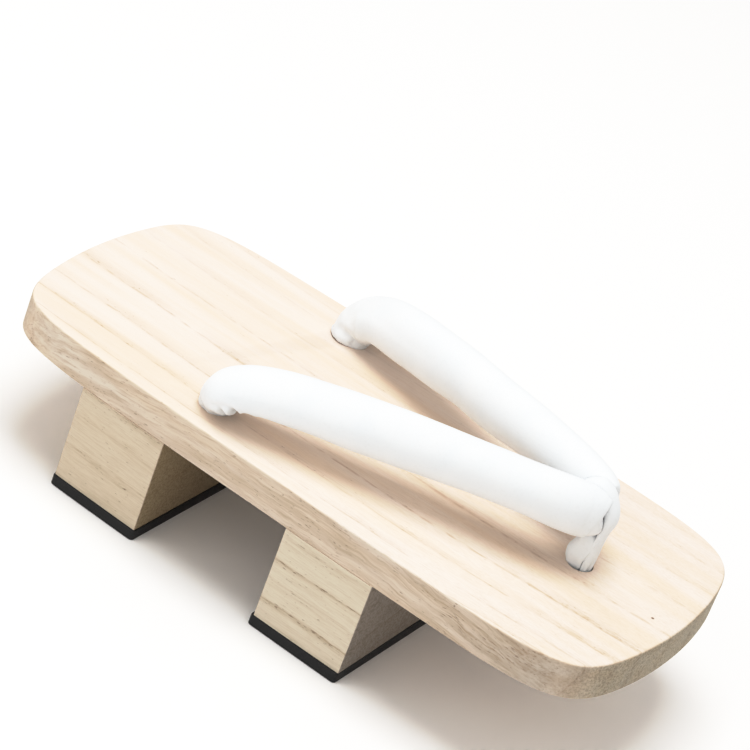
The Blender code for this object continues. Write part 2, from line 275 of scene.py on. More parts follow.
# The toe loop's two legs press against each other: how far towards the toe their crease lies, in mm,
# at each height above the board in mm. Higher up, over CREASE_FADE, the band opens to go round the arms.
LEG_CREASE = ((-3, 0.3), (0, 1.7), (2.5, 1.7), (5, 2.3), (7, 3.0), (11, 3.7), (13, 3.6), (15, 3.6))
LEG_CREASE_GAP = 0.35 * MM
CREASE_FADE = (13.6, 14.6)
LEG_PRESS = 1.5
LEG_PRESS_POWER = 1.5

# The wood of the board and of each tooth.
# grain: how the growth rings run with x, z, x squared and y squared, each in mm.
# start: where the rings count from, in mm. lines: where each ring line lies, and how strongly it shows.
# streaks: how strongly the long sides show brown streaks, and how fast those change along y, per mm.
# clouds and bands: how strongly wide brown patches show on the sides, and wide warm bands all over.
# bend: how the streaks rise towards both ends, per mm. waves: how far they wander up and down, in mm.
# plain_heel: how much of the figure shows at the heel.
# flecks: how many dark pores show, as a share. side and end: the tints of the long sides and the ends,
# their own tan and end-grain colour with painted shade, darker than the top where less light falls.
BOARD_WOOD = {
    "grain": (1.0, 0.25, 0.0, 0.00025),
    "start": 0.25 * BOARD_TOP / MM,
    "lines": (
        (-62, 0.3), (-47, 0.3), (-37, 0.35), (-22, 0.4), (-7.5, 0.75), (11, 0.9), (28, 1.0),
        (39.5, 0.8), (49.5, 0.8), (56.2, 0.5), (58.5, 0.5), (62, 0.4),
    ),
    "streaks": (0.48, 0.045),
    "clouds": 0.34,
    "bands": 0.7,
    "bend": 0.0008,
    "waves": 5.0,
    "plain_heel": 0.3,
    "flecks": 1.0,
    # side and end: tan and end-grain tints with painted shade on the sides and ends
    "side": (0.78, 0.80, 0.79, 1),
    "end": (0.59, 0.61, 0.55, 1),
}
FRONT_TOOTH_WOOD = {
    "grain": (0.06, 1.0, 0.0012, 0.0),
    "start": 7.1,
    "lines": ((-6, 0.3), (3, 0.3), (12, 1.0), (20, 0.2), (27, 1.1), (36, 0.3), (46, 0.3)),
    "streaks": (0.05, 0.03),
    "clouds": 0.0,
    "bands": 0.12,
    "bend": 0.0,
    "waves": 0.0,
    "plain_heel": 1.0,
    "flecks": 0.8,
    "side": (0.765, 0.80, 0.755, 1),
    # The ends' tint: dark end grain, with painted shadow from under the board
    "end": (0.40, 0.40, 0.385, 1),
}
REAR_TOOTH_WOOD = dict(
    FRONT_TOOTH_WOOD,
    lines=((-6, 0.3), (7, 0.2), (17, 0.7), (29, 0.25), (38, 0.7), (48, 0.3)),
    side=(0.726, 0.74, 0.68, 1),
    # The ends' tint: dark end grain, with painted shadow from under the board
    end=(0.52, 0.46, 0.32, 1),
)
RING_WANDER = 4.0

# The noise of each figure of the wood: changes per mm across and along the grain, detail and roughness
WOOD_NOISES = {
    "wander": (0.02, 0.014, 3.0, 0.5),
    "broken": (0.5, 0.18, 3.0, 0.5),
    "smeared": (0.06, 0.025, 2.0, 0.5),
    "waves": (0.08, 0.05, 3.0, 0.5),
    "clouds": (0.3, 0.03, 4.0, 0.5),
    "fibres": (3.2, 0.12, 4.0, 0.7),
    "bands": (0.16, 0.008, 2.0, 0.5),
    "pores": (2.8, 0.45, 1.0, 0.5),
    "mottles": (1.3, 1.3, 3.0, 0.7),
}
STREAKS_ACROSS = 1.2
STREAKS_DETAIL = 6.0
STREAKS_ROUGHNESS = 0.75

# Between which values of its noise each figure goes from none to full
WOOD_RANGES = {
    "broken": (0.42, 0.60),
    "smeared": (0.38, 0.64),
    "clouds": (0.46, 0.60),
    "streaks": (0.48, 0.64),
    "fibres": (0.46, 0.72),
    "bands": (0.34, 0.66),
    "mottles": (0.42, 0.62),
}

# The growth rings' dark cores and brown halos: place between two lines, strength
RING_CORE = ((0.0, 1.0), (0.025, 0.5), (0.05, 0.0), (0.96, 0.0), (1.0, 1.0))
RING_HALO = ((0.0, 0.5), (0.1, 0.0), (0.72, 0.0), (0.97, 1.0), (1.0, 0.8))

# How strongly each figure is drawn over the wood's plain colour
CORE_STRENGTH = 0.6
HALO_STRENGTH = 0.35
PORE_STRENGTH = 0.5
FIBRE_STRENGTH = 0.3
TOP_STREAKS_AT_HALO = 0.9
TOP_STREAKS = 0.12

# The noise value over which a pore shows, how much lower it is at ring lines, in brown patches and on
# the long sides, and how soft a pore's edge is
PORE_LIMIT = 0.765
PORES_AT_RINGS = 0.16
PORES_IN_CLOUDS = 0.10
PORES_ON_SIDES = 0.06
PORE_EDGE = 0.06

# Relief and gloss of the wood
CORE_RELIEF = 0.6
WOOD_BUMP = 0.05 * MM
WOOD_ROUGHNESS = (0.5, 0.68)
FACING = (0.5, 0.95)
NOISE_SPAN = (0.2, 0.8)
TOE_PATCH_Y = (60.0, 105.0)
HEEL_TO_TOE = (-60.0, 50.0)

# Colours
WOOD_LIGHT = (0.825, 0.72, 0.645, 1)
WOOD_WARM = (0.79, 0.64, 0.51, 1)
WOOD_STREAK = (0.52, 0.395, 0.28, 1)
WOOD_LINE = (0.51, 0.37, 0.27, 1)
WOOD_PORE = (0.22, 0.13, 0.07, 1)
TOE_TINT = (0.80, 0.79, 0.78, 1)
MOTTLE_TINT = (0.66, 0.63, 0.60, 1)
SPECK_COLOUR = (0.10, 0.05, 0.03, 1)
SPECKS = (
    # place, radius
    ((3.8 * MM, 110.9 * MM, BOARD_TOP), 0.7 * MM),
    ((56.2 * MM, 67.8 * MM, 49.9 * MM), 0.6 * MM),
    ((55.9 * MM, -20.7 * MM, 42.8 * MM), 0.5 * MM),
)
SPECK_CORE = 0.5
SPECK_STRENGTH = 0.8
CLOTH_WHITE = (0.825, 0.855, 0.88, 1)
CLOTH_COOL = (0.79, 0.83, 0.865, 1)
# Grey for the nap's darker flecks and for the painted shade in creases, then a near black painted shadow for
# deep folds
CLOTH_NAP_AND_CREASE_SHADE = (0.56, 0.56, 0.56, 1)
CLOTH_FOLD_SHADOW = (0.10, 0.10, 0.11, 1)

# The cloth's weave, and its noises' changes per metre
THREAD = 0.30 * MM
NAP_SCALE = 900.0
FINE_DETAIL = 3.0
CLOTH_CLOUD_SCALE = 90.0
CLOTH_CLOUDS = (0.35, 0.7)
CLOTH_NAP = (0.55, 0.8, 0.0, 0.12)
CLOTH_BUMP = 0.03 * MM
NAP_RELIEF = 0.8
WEAVE_RELIEF = 0.3
CLOTH_ROUGHNESS = (0.8, 0.95)
CLOTH_GLOSS = (("Sheen Weight", 0.25), ("Sheen Roughness", 0.5), ("Specular IOR Level", 0.2))

# The depths, in mm, between which a crease gets painted grey shade and a deep fold a dark painted shadow, and
# how far each goes
CREASE_SHADE = (0.15, 1.3)
CREASE_STRENGTH = 0.35
FOLD_SHADE = (1.4, 2.4, 0.0, 0.9)

# The rubber's skin and dust
RUBBER_BLACK = (0.010, 0.010, 0.011, 1)
RUBBER_DUST = (0.10, 0.09, 0.08, 1)
PEBBLE_SCALE = 1500.0
DUST_SCALE = 60.0
DUST_DETAIL = 5.0
DUST_RANGE = (0.5, 0.75)
DUST_STRENGTH = 0.35
RUBBER_BUMP = 0.15 * MM
RUBBER_ROUGHNESS = (0.55, 0.8)

# The floor
FLOOR_SIZE = 6.0
FLOOR_SEGMENTS = 4
FLOOR_PALE = (0.95, 0.95, 0.95, 1)
FLOOR_SHADE = (0.93, 0.93, 0.93, 1)
FLOOR_SCALE = 3.0
FLOOR_ROUGHNESS = 0.9

# Lights: place, size in metres, watts and colour
LIGHTS = (
    ("key", (0.03, -0.12, 1.55), 0.85, 14.8, (1.0, 0.998, 0.99)),
    ("fill", (1.0, -0.35, 0.50), 1.2, 2.8, (1.0, 0.99, 0.97)),
)
WORLD_COLOUR = (1.0, 0.98, 0.945, 1)
WORLD_STRENGTH = 0.64

# The photograph's contrast: shade deepens and the brightest tones are held back
TONE_CURVE = (
    # light, tone
    (0.12, 0.085),
    (0.31, 0.245),
    (0.50, 0.475),
    (0.69, 0.735),
    (0.84, 0.865),
    (1.00, 0.96),
    (1.13, 1.00),
)
BRIGHTEST_LIGHT = 2.0
ALL_CHANNELS = 3                 # the curve that Blender applies to red, green and blue alike


def outline_point(turn):
    """The board's outline in the direction of this turn from +X."""
    towards_toe = math.sin(turn) > 0
    power = TOE_SQUARENESS if towards_toe else HEEL_SQUARENESS
    bow = TOE_BOW if towards_toe else HEEL_BOW
    reach = (abs(math.cos(turn)) ** power + abs(math.sin(turn)) ** power) ** (-1 / power)
    across = reach * math.cos(turn)
    along = reach * math.sin(turn)
    y = along * (BOARD_LENGTH / 2 - bow * across ** 2)
    toe_share = 0.5 + y / BOARD_LENGTH
    width = BOARD_HEEL_WIDTH + (BOARD_TOE_WIDTH - BOARD_HEEL_WIDTH) * toe_share
    x = across * (width / 2 - SIDE_BOW * along ** 2)
    return x, y


def half_width(y):
    """Half the board's width at y, read from its outline."""
    right_side = [outline_point(math.pi * (i / WIDTH_SAMPLES - 0.5)) for i in range(WIDTH_SAMPLES + 1)]
    return float(np.interp(y, [point[1] for point in right_side], [point[0] for point in right_side]))


def board_outline():
    """Points round the board, the same distance apart."""
    dense = np.array([outline_point(math.pi * i / OUTLINE_SAMPLES) for i in range(2 * OUTLINE_SAMPLES + 1)])
    runs = np.linalg.norm(np.diff(dense, axis=0), axis=1)
    travelled = np.concatenate([[0], np.cumsum(runs)])
    stops = np.linspace(0, travelled[-1], OUTLINE_POINTS, endpoint=False)
    return np.stack([np.interp(stops, travelled, dense[:, axis]) for axis in (0, 1)], axis=1)


def block_outline(back, front, overhang, corner):
    """Points round a block under the board: its ends follow the board's sides."""
    right_side = []
    turns = [math.pi / 2 * i / EDGE_SEGMENTS for i in range(EDGE_SEGMENTS + 1)]
    back_centre = half_width(back) + overhang - corner, back - overhang + corner
    front_centre = half_width(front) + overhang - corner, front + overhang - corner
    for turn in turns:
        across, along = corner * math.sin(turn), corner * math.cos(turn)
        right_side.append((back_centre[0] + across, back_centre[1] - along))
    for y in np.linspace(back_centre[1], front_centre[1], BLOCK_SIDE_POINTS)[1:-1]:
        right_side.append((half_width(y) + overhang, y))
    for turn in turns:
        across, along = corner * math.cos(turn), corner * math.sin(turn)
        right_side.append((front_centre[0] + across, front_centre[1] + along))
    left_side = [(-x, y) for x, y in reversed(right_side)]
    return np.array(right_side + left_side)


def edge_profile(bottom, top, low_radius, high_radius):
    """(inset, height) of each ring up a slab's edge, with one flat ring inside each face."""
    turns = [math.pi / 2 * i / EDGE_SEGMENTS for i in range(EDGE_SEGMENTS + 1)]
    rings = [(low_radius + FACE_INSET, bottom)]
    rings += [(low_radius * (1 - math.sin(a)), bottom + low_radius * (1 - math.cos(a))) for a in turns]
    rings += [(0, bottom + (top - bottom) * share) for share in EDGE_SHARES]
    rings += [(high_radius * (1 - math.cos(a)), top - high_radius * (1 - math.sin(a))) for a in turns]
    rings.append((high_radius + FACE_INSET, top))
    return rings


def outward(outline):
    """The flat outward direction at each point of a closed outline that runs anticlockwise."""
    heading = np.roll(outline, -1, axis=0) - np.roll(outline, 1, axis=0)
    facing = np.stack([heading[:, 1], -heading[:, 0]], axis=1)
    return facing / np.linalg.norm(facing, axis=1, keepdims=True)


def slab_rings(outline, profile, waviness):
    """Rings of points up a slab's edge, with the slight waviness of sanding by hand."""
    facing = outward(outline)
    rings = np.zeros((len(profile), len(outline), 3))
    for ring, (inset, height) in zip(rings, profile):
        ring[:, :2] = outline - facing * inset
        ring[:, 2] = height
    for ring in rings:
        for point, direction in zip(ring, facing):
            push = waviness * noise.noise(Vector(point) * SANDING_SCALE)
            point[:2] += direction * push
    return rings


def grid_mesh(name, rings):
    """A closed mesh through rings of points, with the distances round and along it, in metres, as its UVs."""
    ring_count, point_count = rings.shape[:2]
    shape = bmesh.new()
    weave = shape.loops.layers.uv.new("weave")
    corners = [[shape.verts.new(point) for point in ring] for ring in rings]
    middle = rings[:, 0]
    along = np.concatenate([[0], np.cumsum(np.linalg.norm(np.diff(middle, axis=0), axis=1))])
    girth = np.linalg.norm(np.diff(rings[ring_count // 2], axis=0), axis=1).sum()
    for i in range(ring_count - 1):
        for j in range(point_count):
            k = (j + 1) % point_count
            face = shape.faces.new((corners[i][j], corners[i][k], corners[i + 1][k], corners[i + 1][j]))
            places = ((j, i), (j + 1, i), (j + 1, i + 1), (j, i + 1))
            for loop, (round_step, along_step) in zip(face.loops, places):
                loop[weave].uv = (girth * round_step / point_count, along[along_step])
    shape.faces.new(corners[0])
    shape.faces.new(corners[-1])
    bmesh.ops.recalc_face_normals(shape, faces=shape.faces)
    mesh = bpy.data.meshes.new(name)
    shape.to_mesh(mesh)
    shape.free()
    mesh.shade_smooth()
    return mesh


def add_piece(name, mesh, material):
    """A piece of the sandal, which rides with its one body."""
    mesh.materials.append(material)
    piece = bpy.data.objects.new(name, mesh)
    bpy.context.scene.collection.objects.link(piece)
    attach(piece, "root")
    return piece


def spline(rows, steps):
    """Rows of numbers, with more rows between them on the Catmull-Rom curve through them."""
    table = np.array(rows, dtype=float)
    padded = np.vstack([table[:1], table, table[-1:]])
    share = np.linspace(0, 1, steps, endpoint=False)[:, None]
    smooth = []
    for a, b, c, d in zip(padded, padded[1:], padded[2:], padded[3:]):
        bend = (2 * a - 5 * b + 4 * c - d) * share + (3 * b - a - 3 * c + d) * share ** 2
        smooth.append(b + (c - a + bend) * share / 2)
    smooth.append(table[-1:])
    return np.vstack(smooth)


def tube_rings(centres, half_widths, half_heights, up, ring_points):
    """Elliptical rings round a middle line. up is carried along it from ring to ring."""
    directions = np.gradient(centres, axis=0)
    directions /= np.linalg.norm(directions, axis=1, keepdims=True)
    angles = np.linspace(0, 2 * math.pi, ring_points, endpoint=False)[:, None]
    rings = []
    for centre, direction, across, high in zip(centres, directions, half_widths, half_heights):
        up = up - direction * (up @ direction)
        up /= np.linalg.norm(up)
        side = np.cross(direction, up)
        rings.append(centre + side * across * np.cos(angles) + up * high * np.sin(angles))
    return np.array(rings)


def ring_normals(rings):
    """The outward direction at each point of a tube."""
    along = np.gradient(rings, axis=0)
    around = np.roll(rings, -1, axis=1) - np.roll(rings, 1, axis=1)
    normals = np.cross(around, along)
    normals /= np.linalg.norm(normals, axis=2, keepdims=True) + NOT_ZERO
    spokes = rings - rings.mean(axis=1, keepdims=True)
    return normals if (normals * spokes).sum() > 0 else -normals


def crease_depth(rings, steps, width, stations):
    """How far one crease presses in, in mm, at each point: a trough with a low shoulder on each side."""
    ring_count, point_count = rings.shape[:2]
    path = []
    for row, degrees, depth in stations:
        point = rings[round(row * steps), round(degrees / 360 * point_count) % point_count]
        path.append((point, depth))
    nearest = np.full((ring_count, point_count), np.inf)
    depths = np.zeros((ring_count, point_count))
    for (start, start_depth), (end, end_depth) in zip(path, path[1:]):
        step = end - start
        share = np.clip((rings - start) @ step / (step @ step), 0, 1)
        gap = np.linalg.norm(rings - start - share[..., None] * step, axis=2) / (width * MM)
        closer = gap < nearest
        nearest = np.where(closer, gap, nearest)
        depths = np.where(closer, start_depth + (end_depth - start_depth) * share, depths)
    trough = np.exp(-nearest ** 2)
    shoulder = np.exp(-((nearest - SHOULDER_PLACE) ** 2) * SHOULDER_SHARPNESS)
    return depths * (trough - CREASE_SHOULDER * shoulder)


def press_creases(rings, steps, creases):
    """The rings with every crease of a table pressed in, and the depth pressed at each point in mm."""
    depth = sum(crease_depth(rings, steps, width, stations) for width, stations in creases)
    return rings - ring_normals(rings) * depth[..., None] * MM, depth


def roughen(rings, filling):
    """The rings, moved in and out by smooth noise, as soft filling does."""
    amount, scale = filling
    normals = ring_normals(rings)
    flat = rings.reshape(-1, 3)
    heights = np.array([noise.noise(Vector(point) * scale) for point in flat])
    return rings + normals * (heights * amount).reshape(rings.shape[:2])[..., None]


def arm_stations():
    """(centre, half width, half height) from the apex to the end of the tail, right of the middle."""
    stations = []
    for along, across, rise, width, height in ARM_SECTIONS:
        x = across * REAR_HOLE_ACROSS
        y = FRONT_HOLE_Y + along * (REAR_HOLE_Y - FRONT_HOLE_Y)
        z = BOARD_TOP + rise * STRAP_RISE
        stations.append((x, y, z, width * STRAP_WIDTH / 2, height * STRAP_HEIGHT / 2))
    last = np.array(stations[-1])
    tail = np.array((REAR_HOLE_ACROSS, REAR_HOLE_Y, 0, REAR_TAIL_RADIUS, REAR_TAIL_RADIUS))
    for height, size in SEAT_SECTIONS:
        station = tail + (last - tail) * size if size > 0 else tail.copy()
        station[2] = BOARD_TOP + height * MM
        stations.append(tuple(station))
    return stations


def pleat(rings):
    """Small gathers that run into the rear hole and fade out up the end of the arm."""
    lowest = rings[..., 2].min(axis=1, keepdims=True)
    fade = np.exp(-np.clip(lowest - BOARD_TOP, 0, None) / (PLEAT_REACH / 2))
    angles = np.linspace(0, 2 * math.pi, rings.shape[1], endpoint=False)
    waves = np.cos(PLEATS * angles + PLEAT_UNEVENNESS * np.sin(2 * angles)) * fade
    return rings + ring_normals(rings) * (waves * PLEAT_DEPTH)[..., None]


def loop_middle(steps):
    """(points, sizes) of the toe loop's middle line."""
    rows = spline(LOOP_SECTIONS, steps)
    reach, height, size = rows.T
    y = FRONT_HOLE_Y + reach * LOOP_REACH
    z = BOARD_TOP + height * LOOP_HEIGHT
    return np.stack([np.zeros(len(rows)), y, z], axis=1), size


def soft_excess(beyond):
    """How far past a limit, with a rounded start: near 0 before it, and the whole distance well past it."""
    return (beyond + np.hypot(beyond, ARM_SOFTNESS)) / 2


def shorten_end(rings, reach):
    """Rounds off the arm's end where it reaches this far towards the toe from the front hole."""
    moved = rings.copy()
    moved[..., 1] -= soft_excess(rings[..., 1] - FRONT_HOLE_Y - reach)
    return moved


def make_room_for_loop(rings):
    """(the arm, pushed sideways out of the toe loop's band, how far each point was pushed, in mm).

    The second counts for less where the gap beside the band is narrower; it sets how dark the painted shadow
    is in the fold beside the band."""
    middle, sizes = loop_middle(ROOM_STEPS)
    flat = rings.reshape(-1, 3).copy()
    painted_fold_shadow = np.zeros(len(flat))
    for index, point in enumerate(flat):
        reach = np.hypot(middle[:, 1] - point[1], middle[:, 2] - point[2])
        nearest = int(reach.argmin())
        gap = float(np.interp((point[2] - BOARD_TOP) / MM, *np.array(BAND_GAPS).T)) * MM
        half_thickness = sizes[nearest] * LOOP_THICKNESS / 2 + gap
        if reach[nearest] < half_thickness:
            half_width_here = sizes[nearest] * LOOP_WIDTH / 2 + gap
            clear = half_width_here * math.sqrt(1 - (reach[nearest] / half_thickness) ** 2)
            painted_fold_shadow[index] = max(clear - point[0], 0) / MM * gap / (BAND_GAPS[0][1] * MM)
            point[0] = max(point[0], clear)
    return flat.reshape(rings.shape), painted_fold_shadow.reshape(rings.shape[:2])


def keep_right_of_middle(rings):
    """Flattens the arm softly where it leans on the other one."""
    moved = rings.copy()
    moved[..., 0] = ARM_GAP + soft_excess(rings[..., 0] - ARM_GAP)
    return moved


def press_legs_together(rings):
    """Fills out the toe loop's two legs towards each other, down to a fine crease between them."""
    normals = ring_normals(rings)
    height = (rings[..., 2] - BOARD_TOP) / MM
    crease_y = FRONT_HOLE_Y + np.interp(height, *np.array(LEG_CREASE).T) * MM
    fade = 1 - np.clip((height - CREASE_FADE[0]) / (CREASE_FADE[1] - CREASE_FADE[0]), 0, 1)
    moved = rings.copy()
    half = rings.shape[0] // 2
    for legs, side in ((slice(None, half), 1), (slice(half, None), -1)):
        facing = np.clip(normals[legs, :, 1] * side * LEG_PRESS, 0, 1) ** LEG_PRESS_POWER * fade[legs]
        target = crease_y[legs] - side * LEG_CREASE_GAP / 2
        moved[legs, :, 1] += facing * (target - rings[legs, :, 1])
    return moved


def keep_off_board(rings, hole_x, hole_y, tail_radius):
    """Lifts what would sink into the board, outside the hole."""
    moved = rings.copy()
    from_hole = np.hypot(rings[..., 0] - hole_x, rings[..., 1] - hole_y)
    height = rings[..., 2]
    sinking = (from_hole > tail_radius + TAIL_CLEARANCE / 2) & (height > BOARD_BOTTOM)
    moved[..., 2] = np.where(sinking, np.maximum(height, BOARD_TOP + GLUE_LINE), height)
    return moved


def arm_rings(creases, end):
    """(the finished surface of an arm, right of the middle, how deep its creases are in mm, with painted
    shadow added in the fold beside the toe loop).
    """
    rows = spline(arm_stations(), ARM_STEPS)
    rings = tube_rings(rows[:, :3], rows[:, 3], rows[:, 4], np.array((0.0, 0.0, 1.0)), ARM_POINTS)
    rings = keep_right_of_middle(rings)
    first_row, last_row = SEAM_ROWS
    seam = (SEAM_WIDTH, tuple((row, UNDERSIDE, SEAM_DEPTH) for row in range(first_row, last_row + 1)))
    rings, _ = press_creases(rings, ARM_STEPS, ARM_HOLLOWS)
    rings, depth = press_creases(rings, ARM_STEPS, creases + (seam,))
    rings = roughen(pleat(rings), ARM_FILLING)
    rings, painted_fold_shadow = make_room_for_loop(shorten_end(rings, end))
    rings = keep_off_board(rings, REAR_HOLE_ACROSS, REAR_HOLE_Y, REAR_TAIL_RADIUS)
    # Painted shadow: where the arm was pushed aside by the band, the fold beside it is shaded dark
    return rings, depth + FOLD_SHADOW_DEPTH * painted_fold_shadow


def store_depth(mesh, depth):
    """Keeps each point's crease depth in the mesh, for the cloth's painted shade in creases and folds."""
    creases = mesh.attributes.new("crease", "FLOAT", "POINT")
    creases.data.foreach_set("value", depth.reshape(-1).astype(np.float32))


def build_arm(name, side, creases, end, cloth):
    """One arm of the strap: side is 1 on the right and -1 on the left."""
    rings, depth = arm_rings(creases, end)
    rings[..., 0] *= side
    mesh = grid_mesh(name, rings)
    store_depth(mesh, depth)
    arm = add_piece(name, mesh, cloth)
    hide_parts("strap")


def build_toe_loop(cloth):
    """The padded band that holds the apex, with its two legs in the front hole."""
    points, sizes = loop_middle(LOOP_STEPS)
    heelward = np.array((0.0, -1.0, 0.0))
    half_widths = sizes * LOOP_WIDTH / 2
    rings = tube_rings(points, half_widths, sizes * LOOP_THICKNESS / 2, heelward, LOOP_POINTS)
    rings, depth = press_creases(press_legs_together(rings), LOOP_STEPS, LOOP_CREASES)
    rings = keep_off_board(roughen(rings, LOOP_FILLING), 0, FRONT_HOLE_Y, FRONT_TAIL_RADIUS)
    mesh = grid_mesh("toe_loop_band", rings)
    store_depth(mesh, depth)
    loop = add_piece("toe_loop_band", mesh, cloth)
    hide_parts("toe_loop")


def knot_rings(x, y, radius, depth, cord_radius):
    """A cord in a trefoil knot under the board. The knot's curve reaches 3 units out from its middle."""
    turns = np.linspace(0, 2 * math.pi, KNOT_STEPS)
    scale = (radius - cord_radius) / 3
    middle_z = BOARD_BOTTOM - GLUE_LINE - depth / 2
    centres = np.stack([
        x + scale * (np.sin(turns) + 2 * np.sin(2 * turns)),
        y + scale * (np.cos(turns) - 2 * np.cos(2 * turns)),
        middle_z - (depth / 2 - cord_radius) * np.sin(3 * turns),
    ], axis=1)
    thickness = np.full(KNOT_STEPS, cord_radius)
    return tube_rings(centres, thickness, thickness, np.array((0.0, 0.0, 1.0)), KNOT_POINTS)


def build_knot(name, node, x, y, radius, depth, cloth):
    """The knot under one hole, which stands for part of the strap or of the toe loop."""
    cord_radius = radius * KNOT_CORD_SHARE
    rings = roughen(knot_rings(x, y, radius, depth, cord_radius), KNOT_FILLING)
    mesh = grid_mesh(name, rings)
    store_depth(mesh, np.zeros(rings.shape[:2]))
    knot = add_piece(name, mesh, cloth)
    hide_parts(node)


def hole_cutter(x, y, radius):
    """A plug with flared ends, which cuts a hole with eased edges."""
    edge = [(radius + HOLE_FLARE * out, HOLE_FLARE * inwards) for out, inwards in HOLE_EDGE]
    widest = radius + HOLE_FLARE + HOLE_OVERRUN
    profile = [(widest, BOARD_TOP + HOLE_OVERRUN)]
    profile += [(size, BOARD_TOP - inwards) for size, inwards in edge]
    profile += [(size, BOARD_BOTTOM + inwards) for size, inwards in reversed(edge)]
    profile.append((widest, BOARD_BOTTOM - HOLE_OVERRUN))
    turns = np.linspace(0, 2 * math.pi, HOLE_POINTS, endpoint=False)
    circle = np.stack([np.cos(turns), np.sin(turns)], axis=1)
    heights = [np.full(HOLE_POINTS, z) for _, z in profile]
    rings = np.array([np.column_stack([circle * size + (x, y), z]) for (size, _), z in zip(profile, heights)])
    cutter = bpy.data.objects.new("hole", grid_mesh("hole", rings))
    bpy.context.scene.collection.objects.link(cutter)
    return cutter


def cut_holes(mesh):
    """The mesh with the three holes for the cloth cut through it."""
    board = bpy.data.objects.new("uncut_board", mesh)
    bpy.context.scene.collection.objects.link(board)
    holes = (
        (0, FRONT_HOLE_Y, FRONT_TAIL_RADIUS),
        (REAR_HOLE_ACROSS, REAR_HOLE_Y, REAR_TAIL_RADIUS),
        (-REAR_HOLE_ACROSS, REAR_HOLE_Y, REAR_TAIL_RADIUS),
    )
    cutters = [hole_cutter(x, y, radius + TAIL_CLEARANCE) for x, y, radius in holes]
    for cutter in cutters:
        cut = board.modifiers.new("hole", "BOOLEAN")
        cut.operation = "DIFFERENCE"
        cut.object = cutter
    evaluated = board.evaluated_get(bpy.context.evaluated_depsgraph_get())
    carved = bpy.data.meshes.new_from_object(evaluated)
    for helper in cutters + [board]:
        bpy.data.objects.remove(helper)
    return carved


def build_board(wood):
    """The foot board, with eased edges and its three holes."""
    profile = edge_profile(BOARD_BOTTOM, BOARD_TOP, BOTTOM_ROUNDING, TOP_ROUNDING)
    mesh = grid_mesh("geta_board", slab_rings(board_outline(), profile, SANDING_WAVES))
    carved = cut_holes(mesh)
    carved.materials.clear()
    carved.set_sharp_from_angle(angle=SMOOTH_UNDER)
    board = add_piece("geta_board", carved, wood)
    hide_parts("board")


def build_tooth(node, wood):
    """One wooden block under the board."""
    low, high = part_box(node)
    outline = block_outline(low.y, high.y, 0, TOOTH_CORNER)
    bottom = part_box("front_tread")[1].z + GLUE_LINE
    profile = edge_profile(bottom, BOARD_BOTTOM - GLUE_LINE, TOOTH_EDGE, TOOTH_TOP_EDGE)
    name = node + "_block"
    mesh = grid_mesh(name, slab_rings(outline, profile, SANDING_WAVES / 2))
    tooth = add_piece(name, mesh, wood)
    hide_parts(node)


def build_tread(node, tooth, turn, rubber):
    """A rubber sole, glued on by hand a little out of line with its tooth."""
    low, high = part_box(tooth)
    outline = block_outline(low.y, high.y, TREAD_OVERHANG, TREAD_CORNER)
    middle = outline.mean(axis=0)
    spin = np.array(((math.cos(turn), -math.sin(turn)), (math.sin(turn), math.cos(turn))))
    outline = (outline - middle) @ spin.T + middle
    tread_low, tread_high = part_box(node)
    profile = edge_profile(tread_low.z, tread_high.z, TREAD_EDGE, TREAD_EDGE)
    name = node + "_pad"
    tread = add_piece(name, grid_mesh(name, slab_rings(outline, profile, 0)), rubber)
    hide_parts(node)


